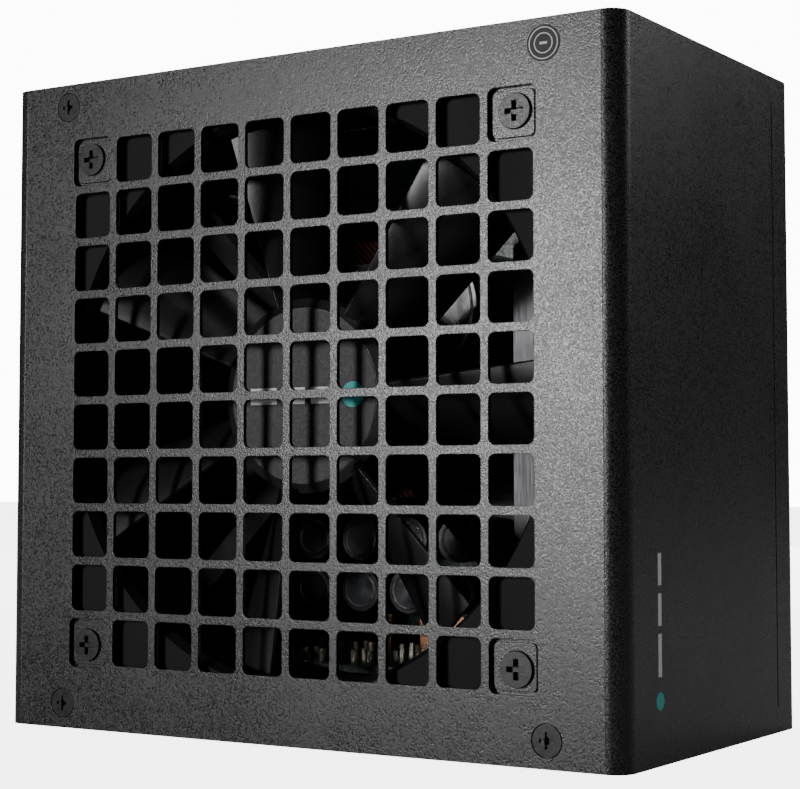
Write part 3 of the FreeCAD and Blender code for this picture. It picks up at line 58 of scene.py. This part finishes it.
class Shader:
    """A node material with a Principled surface and object-space texture helpers."""

    def __init__(self, name, color, roughness, metallic=0.0):
        self.material = bpy.data.materials.new(name)
        self.material.use_nodes = True
        self.tree = self.material.node_tree
        self.surface = self.tree.nodes["Principled BSDF"]
        self.color = color
        self.roughness = roughness
        self.surface.inputs["Base Color"].default_value = (*color, 1.0)
        self.surface.inputs["Roughness"].default_value = roughness
        self.surface.inputs["Metallic"].default_value = metallic
        self.place = self.node("ShaderNodeTexCoord").outputs["Object"]
        self.normal = None

    def node(self, kind, **settings):
        """Add a node with these properties."""
        made = self.tree.nodes.new(kind)
        for key, setting in settings.items():
            setattr(made, key, setting)
        return made

    def link(self, source, target):
        self.tree.links.new(source, target)

    def stretched(self, scale):
        """Object coordinates scaled differently along each axis."""
        mapping = self.node("ShaderNodeMapping")
        mapping.inputs["Scale"].default_value = scale
        self.link(self.place, mapping.inputs["Vector"])
        return mapping.outputs["Vector"]

    def noise(self, size, detail=2.0, rough=0.5, place=None):
        """Noise whose features are about this many metres across."""
        made = self.node("ShaderNodeTexNoise")
        made.inputs["Scale"].default_value = 1.0 / size
        made.inputs["Detail"].default_value = detail
        made.inputs["Roughness"].default_value = rough
        self.link(place or self.place, made.inputs["Vector"])
        return made.outputs["Fac"]

    def ramp(self, source, low, high, start=0.3, end=0.7):
        """Map a factor to the range low..high between two thresholds."""
        made = self.node("ShaderNodeMapRange")
        limits = {"From Min": start, "From Max": end, "To Min": low, "To Max": high}
        for name, number in limits.items():
            made.inputs[name].default_value = number
        self.link(source, made.inputs["Value"])
        return made.outputs["Result"]

    def math(self, operation, first, second):
        """Combine two numbers or sockets with a Math node."""
        made = self.node("ShaderNodeMath", operation=operation)
        for socket, item in zip(made.inputs, (first, second)):
            if isinstance(item, (int, float)):
                socket.default_value = item
            else:
                self.link(item, socket)
        return made.outputs[0]

    def mix(self, factor, first, second):
        """Blend two colours by a factor."""
        made = self.node("ShaderNodeMix", data_type="RGBA")
        self.link(factor, made.inputs["Factor"])
        for socket, item in ((made.inputs["A"], first), (made.inputs["B"], second)):
            if isinstance(item, tuple):
                socket.default_value = (*item, 1.0)
            else:
                self.link(item, socket)
        return made.outputs["Result"]

    def tint(self, factor, low, high):
        """Vary the base colour between two brightness levels."""
        dark = tuple(channel * low for channel in self.color)
        light = tuple(min(1.0, channel * high) for channel in self.color)
        shade = self.mix(factor, dark, light)
        self.link(shade, self.surface.inputs["Base Color"])
        return shade

    def vary_roughness(self, factor, spread):
        """Let a factor move the roughness this far each way."""
        low = max(0.02, self.roughness - spread)
        high = min(1.0, self.roughness + spread)
        self.link(self.ramp(factor, low, high), self.surface.inputs["Roughness"])

    def soft_edges(self, radius):
        """Round every edge's shading by a small radius."""
        bevel = self.node("ShaderNodeBevel", samples=6)
        bevel.inputs["Radius"].default_value = radius
        self.normal = bevel.outputs["Normal"]

    def bump(self, height, depth):
        """Add relief of this depth in metres on top of the earlier relief."""
        made = self.node("ShaderNodeBump")
        made.inputs["Distance"].default_value = depth
        self.link(height, made.inputs["Height"])
        if self.normal is not None:
            self.link(self.normal, made.inputs["Normal"])
        self.normal = made.outputs["Normal"]

    def painted_edge_highlight(self, base, amount):
        """Painted highlight: lighten the base colour along edges, where the rounded normal leaves the
        flat one.
        """
        flat = self.node("ShaderNodeNewGeometry").outputs["Normal"]
        match = self.node("ShaderNodeVectorMath", operation="DOT_PRODUCT")
        self.link(self.normal, match.inputs[0])
        self.link(flat, match.inputs[1])
        edge = self.ramp(match.outputs["Value"], amount, 0.0, start=0.80, end=0.995)
        return self.mix(edge, base, EDGE_HIGHLIGHT_GREY)

    def axes(self):
        """Object-space X, Y and Z as separate values."""
        split = self.node("ShaderNodeSeparateXYZ")
        self.link(self.place, split.inputs["Vector"])
        return dict(zip("XYZ", split.outputs))

    def band(self, value, middle, width):
        """One where a value lies within a band, else zero."""
        gap = self.math("ABSOLUTE", self.math("SUBTRACT", value, middle), 0)
        return self.math("LESS_THAN", gap, width / 2)

    def bar(self, axes, centre, size):
        """Rectangle of this centre and size across two axes."""
        first, second = axes
        return self.math("MULTIPLY", self.band(first, centre[0], size[0]),
                         self.band(second, centre[1], size[1]))

    def ring(self, axes, centre, radius, width):
        """Ring inside a radius, across two axes."""
        squares = []
        for value, middle in zip(axes, centre):
            offset = self.math("SUBTRACT", value, middle)
            squares.append(self.math("MULTIPLY", offset, offset))
        distance = self.math("SQRT", self.math("ADD", *squares), 0)
        return self.band(distance, radius - width / 2, width)

    def disc(self, axes, centre, radius):
        return self.ring(axes, centre, radius, 2 * radius)

    def any_of(self, masks):
        """One where at least one mask is one."""
        joined = masks[0]
        for mask in masks[1:]:
            joined = self.math("MAXIMUM", joined, mask)
        return joined

    def finish(self):
        """Join the relief to the surface and give back the material."""
        if self.normal is not None:
            self.link(self.normal, self.surface.inputs["Normal"])
        return self.material


# Finishes ---------------------------------------------------------------------


def powder_coat(name, printed=False):
    """Black powder coat: fine pebbled grain, faint mottling, and a painted highlight lightening the
    edges.
    """
    shader = Shader(name, (0.012, 0.012, 0.013), 0.3)
    grain = shader.noise(0.34 * MM, detail=2.0, rough=0.6)
    pebble = shader.noise(1.4 * MM, detail=1.0)
    cloud = shader.noise(22 * MM, detail=3.0)
    speck = shader.ramp(grain, 0.0, 1.0, start=0.42, end=0.62)
    shade = shader.mix(speck, COAT_DARK, COAT_LIGHT)
    mixed = shader.math("ADD", shader.math("MULTIPLY", grain, 0.8),
                        shader.math("MULTIPLY", cloud, 0.2))
    shader.vary_roughness(mixed, 0.16)
    shader.soft_edges(0.2 * MM)
    # Painted highlight: the base colour is lightened toward grey along every edge.
    shade = shader.painted_edge_highlight(shade, 0.5)
    if printed:
        shade = side_print(shader, shade)
    shader.link(shade, shader.surface.inputs["Base Color"])
    shader.bump(pebble, 0.006 * MM)
    shader.bump(grain, 0.058 * MM)
    return shader.finish()


def side_print(shader, shade):
    """Plain dashes and a dot printed on the cover's right flange."""
    axes = shader.axes()
    across, up = axes["Y"], axes["Z"]
    just_inside = 74.9 * MM
    outside = shader.math("GREATER_THAN", axes["X"], just_inside)
    row, dash_width = -28.0 * MM, 1.5 * MM
    dot_level, dot_radius = 12.0 * MM, 1.7 * MM
    dashes = [shader.bar((across, up), (row, middle * MM), (dash_width, length * MM))
              for middle, length in ((20.5, 8.0), (29.0, 6.0), (36.5, 6.0))]
    white = shader.math("MULTIPLY", shader.any_of(dashes), outside)
    dot = shader.disc((across, up), (row, dot_level), dot_radius)
    teal = shader.math("MULTIPLY", dot, outside)
    return shader.mix(teal, shader.mix(white, shade, INK_WHITE), INK_TEAL)


def moulded_plastic(name, color, roughness, relief=0.006 * MM, edge=0.12 * MM):
    """Injection-moulded plastic with a fine spark-eroded texture and slight flow marks."""
    shader = Shader(name, color, roughness)
    texture = shader.noise(0.5 * MM, detail=3.0)
    flow = shader.noise(14 * MM, detail=2.0, place=shader.stretched((1, 1, 0.35)))
    shader.tint(shader.ramp(flow, 0.0, 1.0, start=0.25, end=0.75), 0.85, 1.2)
    shader.vary_roughness(shader.math("ADD", shader.math("MULTIPLY", texture, 0.5),
                                      shader.math("MULTIPLY", flow, 0.5)), 0.06)
    shader.soft_edges(edge)
    shader.bump(texture, relief)
    return shader.finish()


def worked_metal(name, color, roughness, direction):
    """Metal with fine drawn or brushed lines along one axis and faint tarnish."""
    shader = Shader(name, color, roughness, metallic=1.0)
    along = 0.03
    scale = tuple(along if axis == direction else 1.0 for axis in "XYZ")
    lines = shader.noise(0.18 * MM, detail=2.0, place=shader.stretched(scale))
    tarnish = shader.noise(4 * MM, detail=4.0)
    shader.tint(shader.ramp(tarnish, 0.0, 1.0, start=0.3, end=0.75), 0.78, 1.08)
    shader.vary_roughness(lines, 0.09)
    shader.soft_edges(0.1 * MM)
    shader.bump(lines, 0.012 * MM)
    return shader.finish()


def screw_finish():
    """Black-oxide steel: dark pressed metal with faint grey wear, and a painted highlight along the
    edges.
    """
    shader = Shader("screw_finish", (0.014, 0.014, 0.015), 0.36, metallic=0.4)
    pits = shader.noise(0.35 * MM, detail=3.0)
    wear = shader.noise(1.6 * MM, detail=4.0)
    shade = shader.tint(shader.ramp(wear, 0.0, 1.0, start=0.35, end=0.7), 0.6, 1.6)
    shader.vary_roughness(pits, 0.1)
    shader.soft_edges(0.14 * MM)
    # Painted highlight: the base colour is lightened toward grey along the head's edges.
    shade = shader.painted_edge_highlight(shade, 0.45)
    shader.link(shade, shader.surface.inputs["Base Color"])
    shader.bump(pits, 0.015 * MM)
    return shader.finish()


def circuit_board(name, color, trace):
    """Solder mask over copper: tracks, pads and a woven glass ground."""
    track_pitch, pad_pitch = 9 * MM, 3.2 * MM
    shader = Shader(name, color, 0.34)
    tracks = shader.node("ShaderNodeTexBrick", offset=0.37, squash=0.6, squash_frequency=3)
    tracks.inputs["Scale"].default_value = 1.0 / track_pitch
    tracks.inputs["Mortar Size"].default_value = 0.055
    tracks.inputs["Mortar Smooth"].default_value = 0.1
    flat = shader.node("ShaderNodeMapping")
    flat.inputs["Rotation"].default_value = (math.radians(90), 0, 0)
    shader.link(shader.place, flat.inputs["Vector"])
    shader.link(flat.outputs["Vector"], tracks.inputs["Vector"])
    pads = shader.node("ShaderNodeTexVoronoi", feature="DISTANCE_TO_EDGE")
    pads.inputs["Scale"].default_value = 1.0 / pad_pitch
    shader.link(shader.place, pads.inputs["Vector"])
    weave = shader.noise(0.5 * MM, detail=1.0)
    line = shader.math("MAXIMUM", tracks.outputs["Fac"],
                       shader.ramp(pads.outputs["Distance"], 1.0, 0.0, start=0.02, end=0.05))
    dark = tuple(0.8 * channel for channel in color)
    shade = shader.mix(line, dark, trace)
    shader.link(shade, shader.surface.inputs["Base Color"])
    shader.vary_roughness(weave, 0.08)
    shader.bump(line, 0.03 * MM)
    shader.bump(weave, 0.006 * MM)
    return shader.finish()


def wound_wire():
    """Enamelled copper wire: banded turns with varnish between them."""
    turn_pitch = 2.6 * MM
    shader = Shader("enamel_wire", (0.11, 0.036, 0.012), 0.36, metallic=0.6)
    wave = shader.node("ShaderNodeTexWave", wave_type="BANDS", bands_direction="DIAGONAL")
    wave.inputs["Scale"].default_value = 1.0 / turn_pitch
    wave.inputs["Distortion"].default_value = 0.6
    shader.link(shader.place, wave.inputs["Vector"])
    turns = wave.outputs["Fac"]
    shader.tint(turns, 0.35, 1.25)
    shader.vary_roughness(shader.noise(2 * MM), 0.08)
    shader.bump(turns, 0.25 * MM)
    return shader.finish()


def laminated_steel():
    """Stacked laminations seen from the side."""
    sheet_pitch = 3.2 * MM
    shader = Shader("core_steel", (0.25, 0.25, 0.26), 0.45, metallic=0.9)
    wave = shader.node("ShaderNodeTexWave", wave_type="BANDS", bands_direction="Y")
    wave.inputs["Scale"].default_value = 1.0 / sheet_pitch
    shader.link(shader.place, wave.inputs["Vector"])
    shader.tint(wave.outputs["Fac"], 0.6, 1.15)
    shader.vary_roughness(shader.noise(0.8 * MM), 0.1)
    shader.bump(wave.outputs["Fac"], 0.05 * MM)
    return shader.finish()


def sintered(name, color, roughness):
    """Ferrite, ceramic or sintered bronze: matt, slightly pitted."""
    shader = Shader(name, color, roughness)
    pits = shader.noise(0.4 * MM, detail=5.0, rough=0.7)
    shader.tint(shader.ramp(pits, 0.0, 1.0), 0.7, 1.3)
    shader.vary_roughness(pits, 0.08)
    shader.soft_edges(0.2 * MM)
    shader.bump(pits, 0.03 * MM)
    return shader.finish()


def shrink_sleeve():
    """Glossy unprinted sleeve with a faint wrinkle."""
    shader = Shader("capacitor_sleeve", (0.035, 0.037, 0.045), 0.22)
    wrinkle = shader.noise(3.5 * MM, detail=2.0, place=shader.stretched((1, 0.3, 1)))
    shader.tint(shader.ramp(wrinkle, 0.0, 1.0), 0.8, 1.3)
    shader.vary_roughness(wrinkle, 0.07)
    shader.bump(wrinkle, 0.06 * MM)
    return shader.finish()


def marked(name, color, roughness, draw):
    """Printed plastic or label: a finished ground with ink drawn on it."""
    shader = Shader(name, color, roughness)
    fibre = shader.noise(0.5 * MM, detail=4.0)
    shade = shader.tint(shader.ramp(fibre, 0.0, 1.0), 0.8, 1.25)
    shader.vary_roughness(fibre, 0.06)
    shader.soft_edges(0.15 * MM)
    shader.link(draw(shader, shade), shader.surface.inputs["Base Color"])
    shader.bump(fibre, 0.008 * MM)
    return shader.finish()


def hub_marks(shader, shade):
    """Dashes and a dot across the fan's hub label."""
    axes = shader.axes()
    across, up = axes["X"], axes["Z"]
    level, dash_height = 70.4 * MM, 3.4 * MM
    dot_place, dot_radius = 12.2 * MM, 2.6 * MM
    dashes = [shader.bar((across, up), (middle * MM, level), (length * MM, dash_height))
              for middle, length in ((-9.9, 6.6), (-2.2, 5.4), (4.4, 4.8))]
    dot = shader.disc((across, up), (dot_place, level), dot_radius)
    return shader.mix(dot, shader.mix(shader.any_of(dashes), shade, INK_WHITE), INK_TEAL)


def seal_marks(shader, shade):
    """Two thin rings and a small bar on the round seal."""
    axes = shader.axes()
    pair = (axes["X"], axes["Z"])
    centre, line = (59.0 * MM, 135.0 * MM), 0.22 * MM
    marks = [shader.ring(pair, centre, radius * MM, line) for radius in (3.1, 2.0)]
    marks.append(shader.bar(pair, centre, (1.6 * MM, 0.5 * MM)))
    return shader.mix(shader.any_of(marks), shade, INK_WHITE)


def rocker_marks(shader, shade):
    """A bar at the on end and a ring at the off end of the rocker."""
    axes = shader.axes()
    pair = (axes["X"], axes["Y"])
    top_only, middle = 137.0 * MM, 27.0 * MM
    above = shader.math("GREATER_THAN", axes["Z"], top_only)
    off = shader.ring(pair, (middle, 1.6 * MM), 1.4 * MM, 0.45 * MM)
    on = shader.bar(pair, (middle, 10.4 * MM), (0.5 * MM, 3.0 * MM))
    mask = shader.math("MULTIPLY", shader.any_of([off, on]), above)
    return shader.mix(mask, shade, INK_WHITE)


def insulating_film():
    """Smoked polyester sheet."""
    shader = Shader("clear_film", (0.020, 0.020, 0.021), 0.3)
    haze = shader.noise(9 * MM, detail=3.0)
    shader.tint(shader.ramp(haze, 0.0, 1.0), 0.7, 1.3)
    shader.vary_roughness(haze, 0.08)
    shader.bump(haze, 0.04 * MM)
    return shader.finish()


def slot_materials():
    """One finished material for every slot of the record."""
    return {
        "case_coat": powder_coat("powder_coat"),
        "screw_black": screw_finish(),
        "sticker": marked("sticker", (0.004, 0.004, 0.004), 0.6, seal_marks),
        "fan_plastic": moulded_plastic("fan_plastic", (0.008, 0.008, 0.009), 0.33),
        "hub_label": marked("hub_label", (0.004, 0.004, 0.004), 0.6, hub_marks),
        "steel": worked_metal("steel", (0.55, 0.55, 0.56), 0.3, "Y"),
        "bronze": sintered("bronze", (0.42, 0.25, 0.11), 0.45),
        "magnet": sintered("magnet", (0.04, 0.036, 0.034), 0.6),
        "core_steel": laminated_steel(),
        "enamel_wire": wound_wire(),
        "board_green": circuit_board("board_green", (0.004, 0.020, 0.011), (0.012, 0.050, 0.026)),
        "socket_plastic": moulded_plastic("socket_plastic", (0.016, 0.016, 0.017), 0.42),
        "contact_metal": worked_metal("contact_metal", (0.72, 0.68, 0.60), 0.24, "Z"),
        "inlet_plastic": moulded_plastic("inlet_plastic", (0.014, 0.014, 0.015), 0.34, edge=0.25 * MM),
        "rocker_plastic": marked("rocker_plastic", (0.016, 0.016, 0.017), 0.26, rocker_marks),
        "clear_film": insulating_film(),
        "heatsink_metal": worked_metal("heatsink_metal", (0.12, 0.12, 0.125), 0.5, "Z"),
        "black_epoxy": moulded_plastic("black_epoxy", (0.022, 0.022, 0.023), 0.5, relief=0.02 * MM),
        "capacitor_sleeve": shrink_sleeve(),
        "film_yellow": moulded_plastic("film_yellow", (0.50, 0.32, 0.03), 0.3),
        "ceramic_blue": sintered("ceramic_blue", (0.05, 0.15, 0.38), 0.25),
        "ferrite": sintered("ferrite", (0.05, 0.05, 0.055), 0.55),
        "fuse_body": sintered("fuse_body", (0.62, 0.59, 0.52), 0.3),
        "copper": worked_metal("copper", (0.70, 0.36, 0.20), 0.3, "X"),
        "lead_black": moulded_plastic("lead_black", (0.015, 0.015, 0.015), 0.45),
        "lead_green": moulded_plastic("lead_green", (0.06, 0.24, 0.03), 0.45),
    }


def dress_nodes():
    """Give every CAD node the finished material of its slot, and three nodes their own."""
    finishes = slot_materials()
    slot_of = {part["node"]: part["material_slot"] for part in frame["record"]["subparts"]}
    for name, item in NODES.items():
        item.data.materials.clear()
        item.data.materials.append(finishes[slot_of[name]])
    NODES["fan_cover"].data.materials[0] = powder_coat("printed_coat", printed=True)
    low_gloss = 0.12
    matt = moulded_plastic("frame_plastic", (0.006, 0.006, 0.0065), 0.6)
    surface = matt.node_tree.nodes["Principled BSDF"]
    surface.inputs["Specular IOR Level"].default_value = low_gloss
    for name in ("fan_frame", "fan_spider"):
        NODES[name].data.materials[0] = matt


# Detail pieces ----------------------------------------------------------------


RING_STEPS = 40
SAME_POINT = 1e-6


def solid_piece(name, shape, material, body="case"):
    """Turn a bmesh into a piece that rides a body."""
    mesh = bpy.data.meshes.new(name)
    bmesh.ops.recalc_face_normals(shape, faces=shape.faces)
    shape.to_mesh(mesh)
    shape.free()
    mesh.materials.append(material)
    item = bpy.data.objects.new(name, mesh)
    bpy.context.scene.collection.objects.link(item)
    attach(item, body)
    return item


def add_ring(shape, centre, along, profile):
    """Lathe a closed profile of (radius, height) pairs about an axis through a centre."""
    turn = Vector((0, 0, 1)).rotation_difference(Vector(along))
    rows = []
    for radius, height in profile:
        row = []
        for step in range(RING_STEPS):
            angle = 2 * math.pi * step / RING_STEPS
            spot = Vector((radius * math.cos(angle), radius * math.sin(angle), height))
            row.append(shape.verts.new(Vector(centre) + turn @ spot))
        rows.append(row)
    for low, high in zip(rows, rows[1:]):
        for step in range(RING_STEPS):
            after = (step + 1) % RING_STEPS
            shape.faces.new((low[step], low[after], high[after], high[step]))
    shape.faces.new(rows[0][::-1])
    shape.faces.new(rows[-1])


def solid_boxes(node):
    """Bounds of each separate solid of a CAD node."""
    shape = bmesh.new()
    shape.from_mesh(NODES[node].data)
    bmesh.ops.remove_doubles(shape, verts=shape.verts, dist=SAME_POINT)
    left = set(shape.verts)
    boxes = []
    while left:
        island = [left.pop()]
        for vert in island:
            for edge in vert.link_edges:
                other = edge.other_vert(vert)
                if other in left:
                    left.remove(other)
                    island.append(other)
        spots = [vert.co for vert in island]
        boxes.append((Vector(min(spot[axis] for spot in spots) for axis in range(3)),
                      Vector(max(spot[axis] for spot in spots) for axis in range(3))))
    shape.free()
    return sorted(boxes, key=lambda pair: tuple(round(number, 5) for number in pair[0]))


def can_tops():
    """Bare aluminium tops with a crimped rim on the electrolytic capacitors."""
    lift, sunk = 0.01 * MM, 0.25 * MM
    crest, disc_level, vent_radius = -0.22 * MM, 0.02 * MM, 0.2 * MM
    shape = bmesh.new()
    for node in ("bulk_capacitor", "output_capacitors"):
        for low, high in solid_boxes(node):
            radius = min(high.x - low.x, high.z - low.z) / 2
            centre = ((low.x + high.x) / 2, low.y - lift, (low.z + high.z) / 2)
            rim = ((radius - 1.5 * MM, sunk), (radius - 1.5 * MM, 0.0), (radius - 1.1 * MM, crest),
                   (radius - 0.75 * MM, 0.0), (radius - 0.7 * MM, sunk))
            disc = ((vent_radius, sunk), (vent_radius, disc_level),
                    (radius - 1.6 * MM, disc_level), (radius - 1.6 * MM, sunk))
            for profile in (rim, disc):
                add_ring(shape, centre, (0, 1, 0), profile)
    aluminium = worked_metal("can_aluminium", (0.42, 0.42, 0.43), 0.35, "X")
    solid_piece("capacitor_tops", shape, aluminium)


# Studio -----------------------------------------------------------------------

FLOOR_GAP = 0.02 * MM
FLOOR_SEEN = 5.0
SURROUND_SEEN, SURROUND_LIGHT = 12.0, 0.045


def camera_only(tree, seen, unseen=0.0):
    """One level for the camera's rays and another for the rays that light things."""
    rays = tree.nodes.new("ShaderNodeLightPath")
    level = tree.nodes.new("ShaderNodeMapRange")
    level.inputs["To Min"].default_value = unseen
    level.inputs["To Max"].default_value = seen
    tree.links.new(rays.outputs["Is Camera Ray"], level.inputs["Value"])
    return level.outputs["Result"]


def floor():
    """Wide pale sheet under the unit."""
    mesh = bpy.data.meshes.new("floor")
    shape = bmesh.new()
    bmesh.ops.create_grid(shape, x_segments=2, y_segments=2, size=4.0)
    shape.to_mesh(mesh)
    shape.free()
    item = bpy.data.objects.new("floor", mesh)
    item.location.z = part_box("housing_tray")[0].z - FLOOR_GAP
    paper = Shader("studio_white", (0.28, 0.28, 0.28), 0.8)
    paper.surface.inputs["Specular IOR Level"].default_value = 0.2
    paper.tint(paper.noise(60 * MM, detail=3.0), 0.985, 1.0)
    paper.surface.inputs["Emission Color"].default_value = (1, 1, 1, 1)
    paper.link(camera_only(paper.tree, FLOOR_SEEN), paper.surface.inputs["Emission Strength"])
    mesh.materials.append(paper.finish())
    bpy.context.scene.collection.objects.link(item)


def area_light(name, place, target, size, power):
    """Rectangular softbox aimed at a point."""
    data = bpy.data.lights.new(name, "AREA")
    data.shape = "RECTANGLE"
    data.size, data.size_y = size
    data.energy = power
    item = bpy.data.objects.new(name, data)
    item.location = place
    item.rotation_mode = "QUATERNION"
    item.rotation_quaternion = (Vector(target) - Vector(place)).to_track_quat("-Z", "Y")
    bpy.context.scene.collection.objects.link(item)
    return item


def lighting():
    """A softbox whose glow falls on the right of the grille, three more, and a dim surround."""
    grille, flange, rear = (0.03, -0.043, 0.08), (0.075, 0, 0.12), (0, 0.043, 0.07)
    area_light("face_box", (-0.34, -0.84, 0.165), grille, (0.19, 0.2), 5.4)
    area_light("top_box", (-0.1, 0.15, 1.2), (0, 0, 0), (1.2, 1.2), 5)
    area_light("side_box", (0.75, 0.75, 0.75), flange, (0.5, 0.7), 5.5)
    area_light("back_box", (-0.45, 1.1, 0.35), rear, (0.6, 0.6), 14)
    world = bpy.data.worlds.new("surround")
    world.use_nodes = True
    background = world.node_tree.nodes["Background"]
    background.inputs["Color"].default_value = (1, 1, 1, 1)
    level = camera_only(world.node_tree, SURROUND_SEEN, SURROUND_LIGHT)
    world.node_tree.links.new(level, background.inputs["Strength"])
    bpy.context.scene.world = world


def camera():
    """Long lens, turned 32 degrees to the grille's right and just below mid height."""
    data = bpy.data.cameras.new("camera")
    data.lens = 87.9
    data.sensor_width = 36.0
    data.shift_y = -0.0369
    data.clip_start, data.clip_end = 0.01, 20
    item = bpy.data.objects.new("camera", data)
    item.location = (0.2296, -0.3636, 0.0523)
    item.rotation_mode = "QUATERNION"
    ahead = Vector((-0.5329, 0.8440, 0.0610))
    item.rotation_quaternion = ahead.to_track_quat("-Z", "Y")
    bpy.context.scene.collection.objects.link(item)
    bpy.context.scene.camera = item


dress_nodes()
can_tops()
floor()
lighting()
camera()
